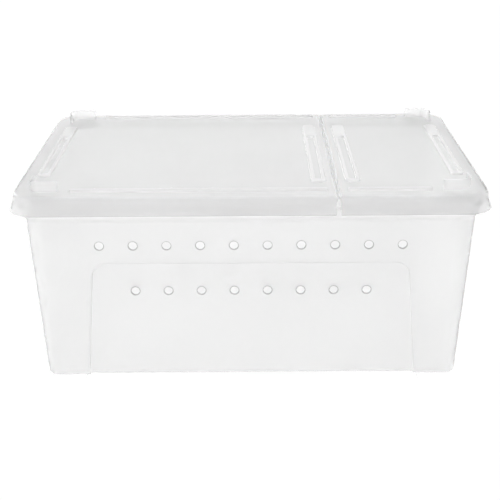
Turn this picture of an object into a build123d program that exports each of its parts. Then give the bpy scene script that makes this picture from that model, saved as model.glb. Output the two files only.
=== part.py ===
"""Clear plastic hibernation box: a vented tub and a press-fit lid whose end third folds up on a moulded hinge."""
import os
from math import atan2, degrees, radians, tan

from build123d import *

os.makedirs("parts", exist_ok=True)

# Tub, millimetres and degrees
base_length = 286.4
base_width = 186.0
tub_height = 136.0
wall = 1.6
floor_thickness = 2.0
wall_draft = 3.55
corner_radius = 6.0
base_edge_radius = 5.0

# Raised middle of the floor
floor_panel_length = 228.0
floor_panel_width = 128.0
floor_panel_rise = 1.5
floor_panel_radius = 10.0
floor_panel_chamfer = 0.8

# Arch-shaped recess in the front and back walls, open at the bottom
recess_depth = 2.0
recess_bottom_width = 228.8
recess_top_width = 213.0
recess_height = 87.8
recess_radius = 10.0

# Vents in the front and back walls
vent_diameter = 5.8
vent_sides = 16
vent_pitch = 22.5
upper_vent_height = 101.1
upper_vent_count = 10
lower_vent_height = 66.6
lower_vent_count = 8

# Rim: the wall steps out at a shoulder and carries a flange that the lid snaps over
shoulder_depth = 17.6
shoulder_rise = 3.1
shoulder_step = 2.2
flange_depth = 8.0
flange_thickness = 1.5
flange_reach = 2.4

# Lid
lid_wall = 1.65
rest_gap = 0.3
skirt_gap = 1.4
skirt_depth = 12.5
skirt_bend_depth = 6.0
skirt_bend_flare = 0.6
skirt_flare = 3.1
deck_corner_radius = 16.0
deck_edge_radius = 2.0

# Hinge between the fixed panel and the flap
hinge_x = 57.5
hinge_groove_width = 4.4
hinge_web_width = 1.2
hinge_web_thickness = 0.4
slit_width = 3.2
slit_start_depth = 5.0

# Raised beads on the deck
bead_height = 2.0
bead_chamfer = 0.6
rail_width = 4.0
rail_setback = 9.5
rail_end_setback = 37.5
rail_hinge_gap = 6.5
side_bead_width = 9.0
side_bead_setback = 10.6
side_bead_length = 128.0
side_slot_width = 4.6
side_slot_length = 92.0
hinge_bead_width = 10.0
hinge_bead_length = 144.0
hinge_bead_shift = 7.0
hinge_slot_width = 5.0
hinge_slot_length = 107.0
slot_front_margin = 4.0

# Corner tabs that hold the base of a box stacked on top
tab_height = 7.2
tab_thickness = 1.8
tab_clearance = 0.3
tab_leg_length = 19.0
tab_side_leg_length = 15.0
tab_radius = 7.0
tab_rib_depth = 6.8

# Snap lugs inside the front and back of the skirt
lug_centres = (-114.0, -15.0, 15.5, 112.5)
lug_length = 24.0
lug_height = 1.4
lug_play = 0.3
window_height = 5.0
window_depth = 0.6

# Heights and outlines that follow from the sizes above
slope = tan(radians(wall_draft))
shoulder_height = tub_height - shoulder_depth
flange_height = tub_height - flange_depth
rim_length = base_length + 2 * (tub_height * slope + shoulder_step)
rim_width = base_width + 2 * (tub_height * slope + shoulder_step)
deck_grow = skirt_gap + lid_wall
deck_length = rim_length + 2 * deck_grow
deck_width = rim_width + 2 * deck_grow
deck_under = tub_height + rest_gap
deck_top = deck_under + lid_wall
lip_height = deck_top - skirt_depth
overshoot = 1.0
reach = deck_length


def slab(z_low, z_high, x_low=-reach, x_high=reach, y_low=-reach, y_high=reach):
    """A box between two corners, used to cut or to keep a stretch of a form."""
    size = (x_high - x_low, y_high - y_low, z_high - z_low)
    return Pos(x_low, y_low, z_low) * Box(*size, align=(Align.MIN, Align.MIN, Align.MIN))


def lowest_edges(form):
    return form.edges().group_by(Axis.Z)[0]


def highest_edges(form):
    return form.edges().group_by(Axis.Z)[-1]


def tub_section(z, grow, narrow=0.0):
    """The tub's drafted outline at a height, grown all round and narrowed between front and back."""
    offset = z * slope + grow
    outline = RectangleRounded(base_length + 2 * offset, base_width + 2 * (offset - narrow),
                               corner_radius + offset)
    return Pos(0, 0, z) * outline


def flange_outline(grow):
    return tub_section(flange_height, shoulder_step + flange_reach + grow)


def frustum(outline, height, spread):
    """A prism on an outline whose sides lean outwards by a spread over its height."""
    return extrude(outline, height, taper=-degrees(atan2(spread, height)))


def tub_form(z_low, z_high, grow, narrow=0.0):
    """The tub's solid outline from a floor to the rim, with the shoulder, offset by a wall."""
    heights = [z_low, shoulder_height, shoulder_height + shoulder_rise, z_high]
    steps = [0.0, 0.0, shoulder_step, shoulder_step]
    stages = []
    for i in range(3):
        height = heights[i + 1] - heights[i]
        outline = tub_section(heights[i], grow + steps[i], narrow)
        stages.append(frustum(outline, height, height * slope + steps[i + 1] - steps[i]))
    foot = fillet(lowest_edges(stages[0]), base_edge_radius + grow)
    return foot + stages[1:]


def arch_prism(grow):
    """The arch of the recess, run through the tub from front to back."""
    half_low, half_high = recess_bottom_width / 2 + grow, recess_top_width / 2 + grow
    high = recess_height + grow
    outline = Polyline((-half_low, -overshoot), (-half_high, high), (half_high, high),
                       (half_low, -overshoot), close=True)
    face = make_face(outline)
    face = fillet(face.vertices().group_by(Axis.Y)[-1], recess_radius + grow)
    return extrude(Plane.XZ * face, reach, both=True)


def recessed(form, core, grow):
    """A tub form with the arch pressed in at front and back, down to a narrower core."""
    return form - ((form & arch_prism(grow)) - core)


def vent_row(height, count, depth):
    """Holes square to the front and back walls, evenly spaced about the middle, near enough round."""
    first = -vent_pitch * (count - 1) / 2
    wall_y = base_width / 2 + height * slope - depth
    drill = extrude(RegularPolygon(vent_diameter / 2, vent_sides), 2 * wall, both=True)
    drills = []
    for side in (-1, 1):
        for i in range(count):
            seat = Plane(origin=(first + vent_pitch * i, side * wall_y, height), x_dir=(1, 0, 0),
                         z_dir=(0, side, -slope))
            drills.append(seat * drill)
    return drills


def make_tub():
    outer = tub_form(0, tub_height, 0.0)
    outer = recessed(outer, tub_form(0, tub_height, 0.0, recess_depth), 0.0)
    flange = extrude(flange_outline(0.0), flange_thickness)
    top = tub_height + overshoot
    inner = tub_form(floor_thickness, top, -wall)
    inner = recessed(inner, tub_form(floor_thickness, top, -wall, recess_depth), wall)
    pad = extrude(RectangleRounded(floor_panel_length, floor_panel_width, floor_panel_radius),
                  floor_thickness + floor_panel_rise)
    pad = chamfer(highest_edges(pad), floor_panel_chamfer)
    pocket = extrude(RectangleRounded(floor_panel_length - 2 * floor_thickness,
                                      floor_panel_width - 2 * floor_thickness,
                                      floor_panel_radius - floor_thickness), floor_panel_rise)
    tub = (outer + flange) - inner + (pad - slab(-overshoot, floor_thickness / 2)) - pocket
    vents = vent_row(upper_vent_height, upper_vent_count, 0.0)
    vents += vent_row(lower_vent_height, lower_vent_count, recess_depth)
    return tub - vents


def lid_form(z_low, z_high, grow):
    """The lid's solid outline from lip to deck: an upright band under the deck, then a flared skirt."""
    heights = [z_low, deck_top - skirt_bend_depth, z_high]
    flares = [skirt_flare, skirt_bend_flare, 0.0]
    stages = []
    for i in range(2):
        offset = flares[i] + grow
        outline = RectangleRounded(deck_length + 2 * offset, deck_width + 2 * offset,
                                   deck_corner_radius + offset)
        height = heights[i + 1] - heights[i]
        stages.append(frustum(Pos(0, 0, heights[i]) * outline, height, flares[i + 1] - flares[i]))
    return stages[0] + stages[1]


def bead(length, width, slot_length, slot_width):
    """A raised bead with rounded ends and a slot that leaves its back end whole."""
    body = extrude(RectangleRounded(width, length, width * 0.45), bead_height)
    body = chamfer(highest_edges(body), bead_chamfer)
    if slot_length:
        slot = extrude(RectangleRounded(slot_width, slot_length, slot_width * 0.45), bead_height)
        body -= Pos(0, -length / 2 + slot_front_margin + slot_length / 2, 0) * slot
    return Pos(0, 0, deck_top) * body


def rails():
    """Straight beads along the front and back of the deck, broken at the hinge."""
    stretches = [(-deck_length / 2 + rail_end_setback, hinge_x - rail_hinge_gap),
                 (hinge_x + rail_hinge_gap, deck_length / 2 - rail_end_setback)]
    y = deck_width / 2 - rail_setback - rail_width / 2
    made = []
    for x_low, x_high in stretches:
        rail = Rot(0, 0, 90) * bead(x_high - x_low, rail_width, 0, 0)
        made += [Pos((x_low + x_high) / 2, side * y, 0) * rail for side in (-1, 1)]
    return made


def beads():
    """Slotted beads along both ends of the deck and along both sides of the hinge."""
    side_x = deck_length / 2 - side_bead_setback - side_bead_width / 2
    side = bead(side_bead_length, side_bead_width, side_slot_length, side_slot_width)
    hinge = Pos(0, -hinge_bead_shift, 0) * bead(hinge_bead_length, hinge_bead_width,
                                                hinge_slot_length, hinge_slot_width)
    hinge_offset = rail_hinge_gap + hinge_bead_width / 2
    return ([Pos(x, 0, 0) * side for x in (-side_x, side_x)]
            + [Pos(hinge_x + x, 0, 0) * hinge for x in (-hinge_offset, hinge_offset)])


def corner_tabs():
    """L-shaped walls at the corners: tabs above the deck, stiffening ribs below it."""
    inner_length = base_length + 2 * (tab_height * slope + tab_clearance)
    inner_width = base_width + 2 * (tab_height * slope + tab_clearance)
    outer_x, outer_y = inner_length / 2 + tab_thickness, inner_width / 2 + tab_thickness
    ring = (RectangleRounded(2 * outer_x, 2 * outer_y, tab_radius)
            - RectangleRounded(inner_length, inner_width, tab_radius - tab_thickness))
    low, high = deck_under - tab_rib_depth, deck_top + tab_height
    walls = Pos(0, 0, low) * extrude(ring, high - low)
    walls -= slab(low - 1, high + 1, x_low=tab_leg_length - outer_x, x_high=outer_x - tab_leg_length)
    return walls - slab(low - 1, high + 1, y_low=tab_side_leg_length - outer_y,
                        y_high=outer_y - tab_side_leg_length)


def snap_stretches(z_low, z_high):
    """The stretches of the skirt's front and back, between two heights, that carry the snap lugs."""
    return [slab(z_low, z_high, x - lug_length / 2, x + lug_length / 2) for x in lug_centres]


def lugs(form):
    """Ribs on the skirt's inner face that snap under the tub's flange."""
    z_high = flange_height - lug_play
    z_low = z_high - lug_height
    inside = extrude(flange_outline(lug_play), -skirt_depth)
    ring = (form & slab(z_low, z_high)) - inside
    return [ring & stretch for stretch in snap_stretches(z_low, z_high)]


def windows():
    """Shallow pockets in the skirt's inner face above the lugs."""
    z_low = flange_height - lug_play
    grown = lid_form(lip_height, deck_under, window_depth - lid_wall)
    return [grown & stretch for stretch in snap_stretches(z_low, z_low + window_height)]


def hinge_cut():
    """The gap between panel and flap: a groove above the web, and a slit down through the skirt."""
    groove, web, slit = hinge_groove_width / 2, hinge_web_width / 2, slit_width / 2
    web_top = deck_under + hinge_web_thickness
    slit_start = deck_top - slit_start_depth
    right = [(groove, deck_top + overshoot), (groove, deck_top), (web, web_top), (web, deck_under),
             (slit, slit_start), (slit, lip_height - overshoot)]
    left = [(-x, z) for x, z in reversed(right)]
    face = make_face(Polyline(*right, *left, close=True))
    return Pos(hinge_x, 0, 0) * extrude(Plane.XZ * face, reach, both=True)


def make_lid():
    outer = lid_form(lip_height, deck_top, 0.0)
    inner = lid_form(lip_height, deck_under, -lid_wall)
    shell = fillet(highest_edges(outer), deck_edge_radius) - inner
    shell = shell - windows() + lugs(outer)
    return (shell + rails() + beads() + corner_tabs()) - hinge_cut()


def make_web():
    """The thin strip of the same moulding that bends when the flap is lifted."""
    length = deck_width - 2 * lid_wall
    strip = Box(hinge_web_width, length, hinge_web_thickness, align=(Align.CENTER, Align.CENTER, Align.MIN))
    return Pos(hinge_x, 0, deck_under) * strip


tub = make_tub()
lid = make_lid()
halves = lid.solids().sort_by(Axis.X)
parts = {
    "tub": tub,
    "lid_panel": halves[0],
    "lid_flap": halves[-1],
    "living_hinge": make_web(),
}
for name, shape in parts.items():
    export_step(shape, f"parts/{name}.step")
print("overall", deck_length + 2 * skirt_flare, deck_width + 2 * skirt_flare, deck_top + tab_height)
print("lid solids", len(halves), "volumes", [round(s.volume) for s in halves])
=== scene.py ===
"""A frosted clear hibernation box: a vented tub and a press-fit lid whose end third folds up on a web."""
import math

import bmesh
import bpy
from mathutils import Matrix, Vector


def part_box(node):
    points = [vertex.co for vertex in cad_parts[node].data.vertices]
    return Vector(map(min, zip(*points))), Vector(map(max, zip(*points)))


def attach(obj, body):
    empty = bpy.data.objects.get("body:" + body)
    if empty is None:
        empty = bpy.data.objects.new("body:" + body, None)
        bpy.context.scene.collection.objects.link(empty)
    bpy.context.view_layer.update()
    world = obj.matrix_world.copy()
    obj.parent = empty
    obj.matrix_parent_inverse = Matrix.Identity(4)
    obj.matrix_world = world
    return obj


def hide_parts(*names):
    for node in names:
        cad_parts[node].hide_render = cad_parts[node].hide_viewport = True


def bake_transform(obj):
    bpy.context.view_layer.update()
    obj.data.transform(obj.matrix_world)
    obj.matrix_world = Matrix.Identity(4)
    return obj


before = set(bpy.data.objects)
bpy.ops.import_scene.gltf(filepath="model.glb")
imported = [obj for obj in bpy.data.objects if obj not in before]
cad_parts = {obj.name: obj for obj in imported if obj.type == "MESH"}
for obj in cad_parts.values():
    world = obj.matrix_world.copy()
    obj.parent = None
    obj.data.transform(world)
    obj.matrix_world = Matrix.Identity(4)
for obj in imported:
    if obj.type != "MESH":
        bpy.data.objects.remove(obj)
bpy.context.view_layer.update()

MM = 0.001

# Camera, fitted to the vent rows and the lid's edges
CAMERA_PLACE = (0.000785, -0.76111, 0.35990)
CAMERA_PITCH = math.radians(21.60)
CAMERA_YAW = math.radians(-0.114)
CAMERA_ROLL = math.radians(0.394)
CAMERA_LENS = 76.81
CAMERA_SENSOR = 36.0

# Cleaning of the mouldings' meshes
WELD = 0.002 * MM
FLAT_ANGLE = math.radians(0.4)
SHARP_ANGLE = math.radians(20)

# Walls
BASE_WIDTH = 186.0 * MM
WALL = 1.6 * MM
RECESS = 2.0 * MM

DECK_ABOVE_RIM = 1.95 * MM

# Vents: rows as height, count and how far the wall is set back there
VENT_PITCH = 22.5 * MM
VENT_ROWS = ((101.1 * MM, 10, 0.0), (66.6 * MM, 8, RECESS))
VENT_CUT_REACH = 3.9 * MM
VENT_RADIUS = 2.9 * MM
VENT_OUTER_ROUND = 0.5 * MM
VENT_INNER_ROUND = 0.35 * MM
VENT_CUT_DEPTH = 4.0 * MM
VENT_SEGMENTS = 40
WALL_DRAFT = math.radians(3.55)
# Painted shade round each vent: the grey ring's outer and inner radius, and its grey
VENT_RING_OUTSIDE = VENT_RADIUS + 1.1 * VENT_OUTER_ROUND
VENT_RING_INSIDE = VENT_RADIUS + 0.6 * VENT_OUTER_ROUND
VENT_RIM_SHADE_GREY = 0.5

# Edge rounds
TOP_ROUND = 0.6 * MM
FLANGE_ROUND = 0.45 * MM
SHOULDER_ROUND = 0.9 * MM
ARCH_ROUND = 0.6 * MM
LIP_ROUND = 0.6 * MM
LID_ROUND = 0.2 * MM

# Bands that hold the edges to round: the first two are depths below the rim
FLANGE_BAND = (8.6 * MM, 6.0 * MM)
SHOULDER_BAND = (18.5 * MM, 13.5 * MM)
ARCH_TOP = 92 * MM
ARCH_OUT = 80 * MM
LEVEL = 0.1 * MM

# Studio
SEEN_WHITE = 1.0
AMBIENT = 0.67
FLOOR_GLOW = 1.04
FLOOR_GLOW_SHARE = 0.93

# Plastic
REFRACTION = 1.03
COAT = 0.4
COAT_ROUGHNESS = 0.12
COAT_REFRACTION = 1.45
MILK_REACH = 3.0 * MM
SHADOW_TINT = 0.9


def make_camera():
    """The photograph's viewpoint."""
    pitch, yaw, roll = CAMERA_PITCH, CAMERA_YAW, CAMERA_ROLL
    ahead = Vector((math.sin(yaw) * math.cos(pitch), math.cos(yaw) * math.cos(pitch), -math.sin(pitch)))
    level_right = Vector((math.cos(yaw), -math.sin(yaw), 0))
    level_down = ahead.cross(level_right)
    right = math.cos(roll) * level_right + math.sin(roll) * level_down
    down = math.cos(roll) * level_down - math.sin(roll) * level_right
    turn = Matrix((right, -down, -ahead)).transposed().to_4x4()
    data = bpy.data.cameras.new("camera")
    data.lens = CAMERA_LENS
    data.sensor_width = CAMERA_SENSOR
    data.clip_start = 0.01
    camera = bpy.data.objects.new("camera", data)
    camera.matrix_world = Matrix.Translation(CAMERA_PLACE) @ turn
    bpy.context.scene.collection.objects.link(camera)
    bpy.context.scene.camera = camera


def add_node(tree, kind, x=0, y=0, **values):
    """A shader node with its settings."""
    node = tree.nodes.new(kind)
    node.location = (x, y)
    for key, value in values.items():
        setattr(node, key, value)
    return node


def new_material(name):
    """An empty node material and its output node."""
    material = bpy.data.materials.new(name)
    material.use_nodes = True
    tree = material.node_tree
    tree.nodes.clear()
    return material, tree, add_node(tree, "ShaderNodeOutputMaterial", 900, 0)


def sees_background(tree, x=0, y=0):
    """1 for camera, glossy and transmission rays, which see the plain white studio."""
    path = add_node(tree, "ShaderNodeLightPath", x, y)
    first = add_node(tree, "ShaderNodeMath", x + 180, y, operation="MAXIMUM")
    second = add_node(tree, "ShaderNodeMath", x + 360, y, operation="MAXIMUM")
    tree.links.new(path.outputs["Is Camera Ray"], first.inputs[0])
    tree.links.new(path.outputs["Is Glossy Ray"], first.inputs[1])
    tree.links.new(first.outputs[0], second.inputs[0])
    tree.links.new(path.outputs["Is Transmission Ray"], second.inputs[1])
    return second.outputs[0]


def make_world():
    """A white studio that lights the box at a plain level."""
    world = bpy.data.worlds.new("studio")
    bpy.context.scene.world = world
    world.use_nodes = True
    tree = world.node_tree
    tree.nodes.clear()
    output = add_node(tree, "ShaderNodeOutputWorld", 900, 0)
    seen = add_node(tree, "ShaderNodeBackground", 600, 100)
    seen.inputs["Color"].default_value = (1, 1, 1, 1)
    seen.inputs["Strength"].default_value = SEEN_WHITE
    ambient = add_node(tree, "ShaderNodeBackground", 600, -100)
    ambient.inputs["Color"].default_value = (1, 1, 1, 1)
    ambient.inputs["Strength"].default_value = AMBIENT
    mix = add_node(tree, "ShaderNodeMixShader", 750, 0)
    tree.links.new(sees_background(tree), mix.inputs[0])
    tree.links.new(ambient.outputs[0], mix.inputs[1])
    tree.links.new(seen.outputs[0], mix.inputs[2])
    tree.links.new(mix.outputs[0], output.inputs["Surface"])


def make_floor():
    """A large white sheet that keeps a faint shadow of the box."""
    bm = bmesh.new()
    bmesh.ops.create_grid(bm, x_segments=1, y_segments=1, size=4.0)
    mesh = bpy.data.meshes.new("floor")
    bm.to_mesh(mesh)
    bm.free()
    floor = bpy.data.objects.new("floor", mesh)
    bpy.context.scene.collection.objects.link(floor)
    material, tree, output = new_material("floor_white")
    matte = add_node(tree, "ShaderNodeBsdfDiffuse", 500, -100)
    matte.inputs["Color"].default_value = (0.9, 0.9, 0.9, 1)
    glow = add_node(tree, "ShaderNodeEmission", 500, 100)
    glow.inputs["Color"].default_value = (1, 1, 1, 1)
    glow.inputs["Strength"].default_value = FLOOR_GLOW
    share = add_node(tree, "ShaderNodeMath", 560, 250, operation="MULTIPLY")
    share.inputs[1].default_value = FLOOR_GLOW_SHARE
    mix = add_node(tree, "ShaderNodeMixShader", 750, 0)
    tree.links.new(sees_background(tree, -100, 250), share.inputs[0])
    tree.links.new(share.outputs[0], mix.inputs[0])
    tree.links.new(matte.outputs[0], mix.inputs[1])
    tree.links.new(glow.outputs[0], mix.inputs[2])
    tree.links.new(mix.outputs[0], output.inputs["Surface"])
    mesh.materials.append(material)


def soft_lamp(name, place, aim, size, power):
    """A large soft lamp."""
    data = bpy.data.lights.new(name, "AREA")
    data.shape = "DISK"
    data.size = size
    data.energy = power
    lamp = bpy.data.objects.new(name, data)
    lamp.location = place
    lamp.rotation_euler = (Vector(aim) - Vector(place)).to_track_quat("-Z", "Y").to_euler()
    bpy.context.scene.collection.objects.link(lamp)


def make_lamps():
    """Soft light mostly from behind, so that the inside is brighter than the front wall."""
    centre = (0, 0, 0.07)
    soft_lamp("back_left", (-1.4, 1.5, 0.6), centre, 1.3, 20)
    soft_lamp("back_right", (1.6, 1.4, 0.6), centre, 1.3, 3)
    soft_lamp("front_left", (-1.5, -1.3, 0.5), centre, 1.2, 7)


def group_socket(group, name, direction, kind, value=None):
    """A socket of a node group."""
    socket = group.interface.new_socket(name=name, in_out=direction, socket_type=kind)
    if value is not None:
        socket.default_value = value
    return socket


def mould_surface_group():
    """Moulded plastic: a slow waviness from the cooling wall, a fine grain and uneven gloss."""
    group = bpy.data.node_groups.new("mould_surface", "ShaderNodeTree")
    group_socket(group, "Vector", "INPUT", "NodeSocketVector")
    group_socket(group, "Roughness", "INPUT", "NodeSocketFloat", 0.2)
    group_socket(group, "Spread", "INPUT", "NodeSocketFloat", 0.06)
    group_socket(group, "Wave", "INPUT", "NodeSocketFloat", 0.6)
    group_socket(group, "Grain", "INPUT", "NodeSocketFloat", 0.15)
    group_socket(group, "Roughness", "OUTPUT", "NodeSocketFloat")
    group_socket(group, "Height", "OUTPUT", "NodeSocketFloat")
    link = group.links.new
    source = add_node(group, "NodeGroupInput", -700, 0)
    target = add_node(group, "NodeGroupOutput", 700, 0)
    slow = add_node(group, "ShaderNodeTexNoise", -400, 250)
    slow.inputs["Scale"].default_value = 14.0
    slow.inputs["Detail"].default_value = 2.0
    fine = add_node(group, "ShaderNodeTexNoise", -400, -50)
    fine.inputs["Scale"].default_value = 900.0
    fine.inputs["Detail"].default_value = 3.0
    patch = add_node(group, "ShaderNodeTexNoise", -400, -350)
    patch.inputs["Scale"].default_value = 45.0
    patch.inputs["Detail"].default_value = 4.0
    for texture in (slow, fine, patch):
        link(source.outputs["Vector"], texture.inputs["Vector"])
    wave = add_node(group, "ShaderNodeMath", -150, 250, operation="MULTIPLY")
    link(slow.outputs["Fac"], wave.inputs[0])
    link(source.outputs["Wave"], wave.inputs[1])
    grain = add_node(group, "ShaderNodeMath", -150, -50, operation="MULTIPLY")
    link(fine.outputs["Fac"], grain.inputs[0])
    link(source.outputs["Grain"], grain.inputs[1])
    height = add_node(group, "ShaderNodeMath", 100, 100, operation="ADD")
    link(wave.outputs[0], height.inputs[0])
    link(grain.outputs[0], height.inputs[1])
    link(height.outputs[0], target.inputs["Height"])
    centred = add_node(group, "ShaderNodeMath", -150, -350, operation="SUBTRACT")
    link(patch.outputs["Fac"], centred.inputs[0])
    centred.inputs[1].default_value = 0.5
    uneven = add_node(group, "ShaderNodeMath", 100, -300, operation="MULTIPLY_ADD")
    link(centred.outputs[0], uneven.inputs[0])
    link(source.outputs["Spread"], uneven.inputs[1])
    link(source.outputs["Roughness"], uneven.inputs[2])
    link(uneven.outputs[0], target.inputs["Roughness"])
    return group


def lighter_above_group():
    """Lighter colour above a given height, clouded a little: a mask over heights."""
    group = bpy.data.node_groups.new("lighter_above_height", "ShaderNodeTree")
    group_socket(group, "Vector", "INPUT", "NodeSocketVector")
    group_socket(group, "Below Color", "INPUT", "NodeSocketColor", (0.9, 0.9, 0.9, 1))
    group_socket(group, "Above Color", "INPUT", "NodeSocketColor", (0.98, 0.98, 0.98, 1))
    group_socket(group, "Low", "INPUT", "NodeSocketFloat", 0.0)
    group_socket(group, "High", "INPUT", "NodeSocketFloat", 0.001)
    group_socket(group, "Color", "OUTPUT", "NodeSocketColor")
    link = group.links.new
    source = add_node(group, "NodeGroupInput", -700, 0)
    target = add_node(group, "NodeGroupOutput", 700, 0)
    parts = add_node(group, "ShaderNodeSeparateXYZ", -450, 100)
    link(source.outputs["Vector"], parts.inputs[0])
    raised = add_node(group, "ShaderNodeMapRange", -200, 100)
    link(parts.outputs["Z"], raised.inputs["Value"])
    link(source.outputs["Low"], raised.inputs["From Min"])
    link(source.outputs["High"], raised.inputs["From Max"])
    cloud = add_node(group, "ShaderNodeTexNoise", -450, -250)
    cloud.inputs["Scale"].default_value = 22.0
    cloud.inputs["Detail"].default_value = 3.0
    link(source.outputs["Vector"], cloud.inputs["Vector"])
    faint = add_node(group, "ShaderNodeMath", -200, -250, operation="MULTIPLY_ADD")
    faint.inputs[1].default_value = 0.3
    faint.inputs[2].default_value = -0.15
    link(cloud.outputs["Fac"], faint.inputs[0])
    amount = add_node(group, "ShaderNodeMath", 50, 0, operation="ADD", use_clamp=True)
    link(raised.outputs["Result"], amount.inputs[0])
    link(faint.outputs[0], amount.inputs[1])
    blend = add_node(group, "ShaderNodeMix", 300, 0, data_type="RGBA")
    link(amount.outputs[0], blend.inputs["Factor"])
    link(source.outputs["Below Color"], blend.inputs[6])
    link(source.outputs["Above Color"], blend.inputs[7])
    link(blend.outputs[2], target.inputs["Color"])
    return group


def vent_rim_shade_group():
    """Painted shade on the vents' rounded mouths: a mask round the axis of each vent."""
    group = bpy.data.node_groups.new("vent_rim_painted_shade", "ShaderNodeTree")
    group_socket(group, "Vector", "INPUT", "NodeSocketVector")
    group_socket(group, "Mask", "OUTPUT", "NodeSocketFloat")
    link = group.links.new
    source = add_node(group, "NodeGroupInput", -900, 0)
    target = add_node(group, "NodeGroupOutput", 900, 0)
    parts = add_node(group, "ShaderNodeSeparateXYZ", -700, 0)
    link(source.outputs["Vector"], parts.inputs[0])
    swing = add_node(group, "ShaderNodeMath", -500, 200, operation="PINGPONG")
    link(parts.outputs["X"], swing.inputs[0])
    swing.inputs[1].default_value = VENT_PITCH / 2
    aside = add_node(group, "ShaderNodeMath", -300, 200, operation="SUBTRACT")
    aside.inputs[0].default_value = VENT_PITCH / 2
    link(swing.outputs[0], aside.inputs[1])
    reach = add_node(group, "ShaderNodeMath", -500, 400, operation="ABSOLUTE")
    link(parts.outputs["X"], reach.inputs[0])
    both = add_node(group, "ShaderNodeMath", 700, 0, operation="MAXIMUM")
    for i, (height, count, depth) in enumerate(VENT_ROWS):
        above = add_node(group, "ShaderNodeMath", -300, -300 * i, operation="SUBTRACT")
        link(parts.outputs["Z"], above.inputs[0])
        above.inputs[1].default_value = height
        pair = add_node(group, "ShaderNodeCombineXYZ", -100, -300 * i)
        link(aside.outputs[0], pair.inputs[0])
        link(above.outputs[0], pair.inputs[1])
        away = add_node(group, "ShaderNodeVectorMath", 100, -300 * i, operation="LENGTH")
        link(pair.outputs[0], away.inputs[0])
        ring = add_node(group, "ShaderNodeMapRange", 300, -300 * i, interpolation_type="SMOOTHSTEP")
        link(away.outputs["Value"], ring.inputs["Value"])
        ring.inputs["From Min"].default_value = VENT_RING_OUTSIDE
        ring.inputs["From Max"].default_value = VENT_RING_INSIDE
        row = add_node(group, "ShaderNodeMath", 300, -150 - 300 * i, operation="LESS_THAN")
        link(reach.outputs[0], row.inputs[0])
        row.inputs[1].default_value = VENT_PITCH * count / 2
        kept = add_node(group, "ShaderNodeMath", 500, -300 * i, operation="MULTIPLY")
        link(ring.outputs["Result"], kept.inputs[0])
        link(row.outputs[0], kept.inputs[1])
        link(kept.outputs[0], both.inputs[i])
    link(both.outputs[0], target.inputs["Mask"])
    return group


def frosted_plastic(name, surface, lighter_above, colour_below, colour_above, heights, clear, roughness, spread, wave, grain, bump,
                    rims=None):
    """Frosted clear plastic that lets lamps through, with a milky share that takes their light."""
    material, tree, output = new_material(name)
    link = tree.links.new
    place = add_node(tree, "ShaderNodeTexCoord", -700, 0)
    detail = add_node(tree, "ShaderNodeGroup", -450, 0, node_tree=surface)
    detail.inputs["Roughness"].default_value = roughness
    detail.inputs["Spread"].default_value = spread
    detail.inputs["Wave"].default_value = wave
    detail.inputs["Grain"].default_value = grain
    link(place.outputs["Object"], detail.inputs["Vector"])
    relief = add_node(tree, "ShaderNodeBump", -200, -200)
    relief.inputs["Strength"].default_value = 1.0
    relief.inputs["Distance"].default_value = bump
    link(detail.outputs["Height"], relief.inputs["Height"])
    plastic = add_node(tree, "ShaderNodeBsdfPrincipled", 100, 0)
    height_tone = add_node(tree, "ShaderNodeGroup", -450, 300, node_tree=lighter_above)
    height_tone.inputs["Below Color"].default_value = (colour_below, colour_below, colour_below, 1)
    height_tone.inputs["Above Color"].default_value = (colour_above, colour_above, colour_above, 1)
    height_tone.inputs["Low"].default_value = heights[0]
    height_tone.inputs["High"].default_value = heights[1]
    link(place.outputs["Object"], height_tone.inputs["Vector"])
    # Painted shade: the vents' rims are darkened in the base colour.
    if rims:
        ring = add_node(tree, "ShaderNodeGroup", -450, 600, node_tree=rims)
        rim_shaded = add_node(tree, "ShaderNodeMix", -150, 400, data_type="RGBA")
        rim_shaded.inputs[7].default_value = (VENT_RIM_SHADE_GREY, VENT_RIM_SHADE_GREY, VENT_RIM_SHADE_GREY, 1)
        link(place.outputs["Object"], ring.inputs["Vector"])
        link(ring.outputs["Mask"], rim_shaded.inputs["Factor"])
        link(height_tone.outputs["Color"], rim_shaded.inputs[6])
        link(rim_shaded.outputs[2], plastic.inputs["Base Color"])
    else:
        link(height_tone.outputs["Color"], plastic.inputs["Base Color"])
    plastic.inputs["IOR"].default_value = REFRACTION
    plastic.inputs["Coat Weight"].default_value = COAT
    plastic.inputs["Coat Roughness"].default_value = COAT_ROUGHNESS
    plastic.inputs["Coat IOR"].default_value = COAT_REFRACTION
    plastic.inputs["Transmission Weight"].default_value = clear
    plastic.inputs["Subsurface Weight"].default_value = 1.0
    plastic.inputs["Subsurface Radius"].default_value = (1, 1, 1)
    plastic.inputs["Subsurface Scale"].default_value = MILK_REACH
    link(detail.outputs["Roughness"], plastic.inputs["Roughness"])
    link(relief.outputs["Normal"], plastic.inputs["Normal"])
    open_way = add_node(tree, "ShaderNodeBsdfTransparent", 400, -200)
    open_way.inputs["Color"].default_value = (SHADOW_TINT, SHADOW_TINT, SHADOW_TINT, 1)
    path = add_node(tree, "ShaderNodeLightPath", 400, 350)
    mix = add_node(tree, "ShaderNodeMixShader", 650, 0)
    link(path.outputs["Is Shadow Ray"], mix.inputs[0])
    link(plastic.outputs[0], mix.inputs[1])
    link(open_way.outputs[0], mix.inputs[2])
    link(mix.outputs[0], output.inputs["Surface"])
    return material


def welded_copy(node):
    """A moulding's mesh as one skin, with its flats joined up."""
    bm = bmesh.new()
    bm.from_mesh(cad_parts[node].data)
    bmesh.ops.remove_doubles(bm, verts=bm.verts, dist=WELD)
    bmesh.ops.dissolve_limit(bm, angle_limit=FLAT_ANGLE, verts=bm.verts, edges=bm.edges)
    return bm


def sharp_edges(bm, pick):
    """The folded edges whose middle and direction the pick accepts."""
    found = []
    for edge in bm.edges:
        if len(edge.link_faces) == 2 and edge.calc_face_angle(0) > SHARP_ANGLE:
            first, last = (v.co for v in edge.verts)
            if pick((first + last) / 2, last - first):
                found.append(edge)
    return found


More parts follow.
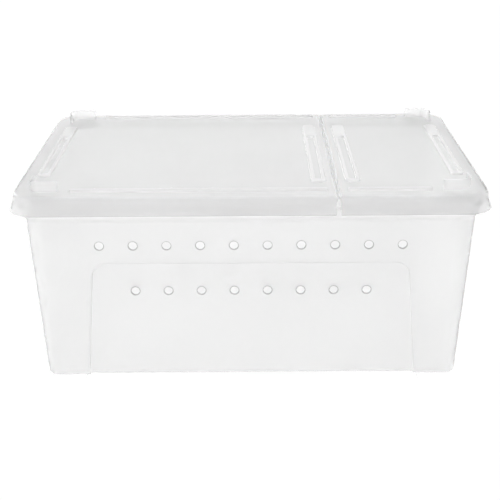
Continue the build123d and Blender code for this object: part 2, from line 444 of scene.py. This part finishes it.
def round_off(bm, pick, offset, segments=2):
    """Rounds the sharp edges that the pick accepts."""
    bmesh.ops.bevel(bm, geom=sharp_edges(bm, pick), offset=offset, segments=segments, profile=0.5,
                    affect="EDGES", material=-1, clamp_overlap=False)


def vent_places():
    """The middle of each vent in its wall, with the direction out of the box."""
    for side in (-1, 1):
        for height, count, depth in VENT_ROWS:
            wall_y = BASE_WIDTH / 2 + height * math.tan(WALL_DRAFT) - depth
            for i in range(count):
                place = Vector((VENT_PITCH * (i - (count - 1) / 2), side * wall_y, height))
                yield place, Vector((0, side * math.cos(WALL_DRAFT), -math.sin(WALL_DRAFT)))


def close_vents(bm):
    """Takes the many-sided vents out of the walls, which are left whole."""
    gone = set()
    for place, _ in vent_places():
        ring = {v for v in bm.verts if (v.co - place).length < VENT_CUT_REACH}
        gone.update(f for f in bm.faces if all(v in ring for v in f.verts))
    bmesh.ops.delete(bm, geom=list(gone), context="FACES")
    rims = [e for e in bm.edges if len(e.link_faces) == 1]
    bmesh.ops.holes_fill(bm, edges=rims, sides=0)
    bmesh.ops.dissolve_limit(bm, angle_limit=FLAT_ANGLE, verts=bm.verts, edges=bm.edges)


def vent_cutter():
    """A turned cutter for each vent: a straight bore with rounded mouths outside and inside."""
    bm = bmesh.new()
    for place, outwards in vent_places():
        profile = [(0, -VENT_CUT_DEPTH), (VENT_RADIUS + VENT_INNER_ROUND, -VENT_CUT_DEPTH),
                   (VENT_RADIUS + VENT_INNER_ROUND, -WALL),
                   (VENT_RADIUS + 0.3 * VENT_INNER_ROUND, -WALL + 0.3 * VENT_INNER_ROUND),
                   (VENT_RADIUS, -WALL + VENT_INNER_ROUND), (VENT_RADIUS, -VENT_OUTER_ROUND),
                   (VENT_RADIUS + 0.3 * VENT_OUTER_ROUND, -0.3 * VENT_OUTER_ROUND),
                   (VENT_RADIUS + VENT_OUTER_ROUND, 0), (VENT_RADIUS + VENT_OUTER_ROUND, VENT_CUT_DEPTH),
                   (0, VENT_CUT_DEPTH)]
        turn = outwards.to_track_quat("Z", "Y").to_matrix()
        line = [bm.verts.new(place + turn @ Vector((r, 0, h))) for r, h in profile]
        edges = [bm.edges.new(pair) for pair in zip(line, line[1:])]
        bmesh.ops.spin(bm, geom=line + edges, cent=place, axis=outwards, angle=math.tau,
                       steps=VENT_SEGMENTS, use_merge=True)
    bmesh.ops.remove_doubles(bm, verts=bm.verts, dist=WELD)
    bmesh.ops.recalc_face_normals(bm, faces=bm.faces)
    mesh = bpy.data.meshes.new("vent_cutter")
    bm.to_mesh(mesh)
    bm.free()
    return bpy.data.objects.new("vent_cutter", mesh)


def cut_vents(bm):
    """The walls with their round vents, as a new bmesh."""
    mesh = bpy.data.meshes.new("walls")
    bm.to_mesh(mesh)
    bm.free()
    walls = bpy.data.objects.new("walls", mesh)
    cutter = vent_cutter()
    for helper in (walls, cutter):
        bpy.context.scene.collection.objects.link(helper)
    drill = walls.modifiers.new("drill", "BOOLEAN")
    drill.operation = "DIFFERENCE"
    drill.solver = "EXACT"
    drill.object = cutter
    bpy.context.view_layer.update()
    cut = bmesh.new()
    cut.from_object(walls, bpy.context.evaluated_depsgraph_get())
    for helper in (walls, cutter):
        bpy.data.meshes.remove(helper.data)
    return cut


def finish_piece(bm, name, material, node):
    """A smooth-shaded piece that stands for a moulding."""
    mesh = bpy.data.meshes.new(name)
    bm.to_mesh(mesh)
    bm.free()
    mesh.shade_smooth()
    mesh.set_sharp_from_angle(angle=math.radians(40))
    mesh.materials.append(material)
    piece = bpy.data.objects.new(name, mesh)
    bpy.context.scene.collection.objects.link(piece)
    even = piece.modifiers.new("even_normals", "WEIGHTED_NORMAL")
    even.mode = "FACE_AREA"
    even.keep_sharp = True
    even.weight = 90
    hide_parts(node)
    return piece


def make_tub(material):
    """The tub with rounded edges and round vents, its foot held at floor level."""
    bm = welded_copy("tub")
    close_vents(bm)
    low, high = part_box("tub")
    rim = high.z

    def top(mid, run):
        return mid.z > rim - LEVEL

    def flange(mid, run):
        return rim - FLANGE_BAND[0] < mid.z < rim - FLANGE_BAND[1]

    def shoulder(mid, run):
        return rim - SHOULDER_BAND[0] < mid.z < rim - SHOULDER_BAND[1]

    def arch(mid, run):
        return LEVEL < mid.z < ARCH_TOP and abs(mid.y) > ARCH_OUT

    round_off(bm, top, TOP_ROUND, 3)
    round_off(bm, flange, FLANGE_ROUND, 2)
    round_off(bm, shoulder, SHOULDER_ROUND, 3)
    round_off(bm, arch, ARCH_ROUND, 3)
    for vert in bm.verts:
        vert.co.z = max(vert.co.z, low.z)
    bm = cut_vents(bm)
    return finish_piece(bm, "vented_tub", material, "tub")


def make_lid_part(node, name, material):
    """The panel or the flap, with a rounded lip and slightly rounded beads and tabs."""
    bm = welded_copy(node)
    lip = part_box(node)[0].z

    def lips(mid, run):
        return mid.z < lip + LEVEL

    def others(mid, run):
        return mid.z > lip + MM

    round_off(bm, lips, LIP_ROUND, 3)
    round_off(bm, others, LID_ROUND, 2)
    return finish_piece(bm, name, material, node)


def make_web(material):
    """The slim web of the fold between the panel and the flap, as a box cut into strips."""
    low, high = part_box("living_hinge")
    bm = bmesh.new()
    bmesh.ops.create_cube(bm, size=1)
    bmesh.ops.scale(bm, vec=high - low, verts=bm.verts)
    bmesh.ops.translate(bm, vec=(low + high) / 2, verts=bm.verts)
    across = [e for e in bm.edges if abs(e.verts[0].co.x - e.verts[1].co.x) > 0.5 * (high.x - low.x)]
    bmesh.ops.subdivide_edges(bm, edges=across, cuts=9, use_grid_fill=True)
    mesh = bpy.data.meshes.new("fold_web")
    bm.to_mesh(mesh)
    bm.free()
    mesh.materials.append(material)
    piece = bpy.data.objects.new("fold_web", mesh)
    bpy.context.scene.collection.objects.link(piece)
    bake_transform(piece)
    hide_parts("living_hinge")


def main():
    bpy.context.scene.view_settings.view_transform = "Standard"
    make_camera()
    make_world()
    make_floor()
    make_lamps()
    surface = mould_surface_group()
    lighter_above = lighter_above_group()
    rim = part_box("tub")[1].z
    deck = rim + DECK_ABOVE_RIM
    tub_plastic = frosted_plastic(
        "frosted_tub", surface, lighter_above, colour_below=0.94, colour_above=0.97, heights=(rim - 9 * MM, rim - 7 * MM),
        clear=0.68, roughness=0.10, spread=0.06, wave=0.5, grain=0.03, bump=0.1 * MM, rims=vent_rim_shade_group())
    # On the lid the lighter colour above the deck is a painted highlight on the raised beads and tabs.
    # The lid's darker field colour is painted shade: it stands in for the shaded floor seen through the
    # lid.
    lid_plastic = frosted_plastic(
        "frosted_lid", surface, lighter_above, colour_below=0.86, colour_above=1.0, heights=(deck, deck + 0.6 * MM),
        clear=0.84, roughness=0.0, spread=0.0, wave=0.1, grain=0.0, bump=0.05 * MM)
    web_plastic = frosted_plastic(
        "frosted_web", surface, lighter_above, colour_below=0.94, colour_above=0.96, heights=(rim, deck),
        clear=0.5, roughness=0.3, spread=0.06, wave=0.2, grain=0.1, bump=0.05 * MM)
    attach(make_tub(tub_plastic), "tub")
    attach(make_lid_part("lid_panel", "lid_main_panel", lid_plastic), "lid")
    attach(make_lid_part("lid_flap", "lid_end_flap", lid_plastic), "flap")
    make_web(web_plastic)


main()
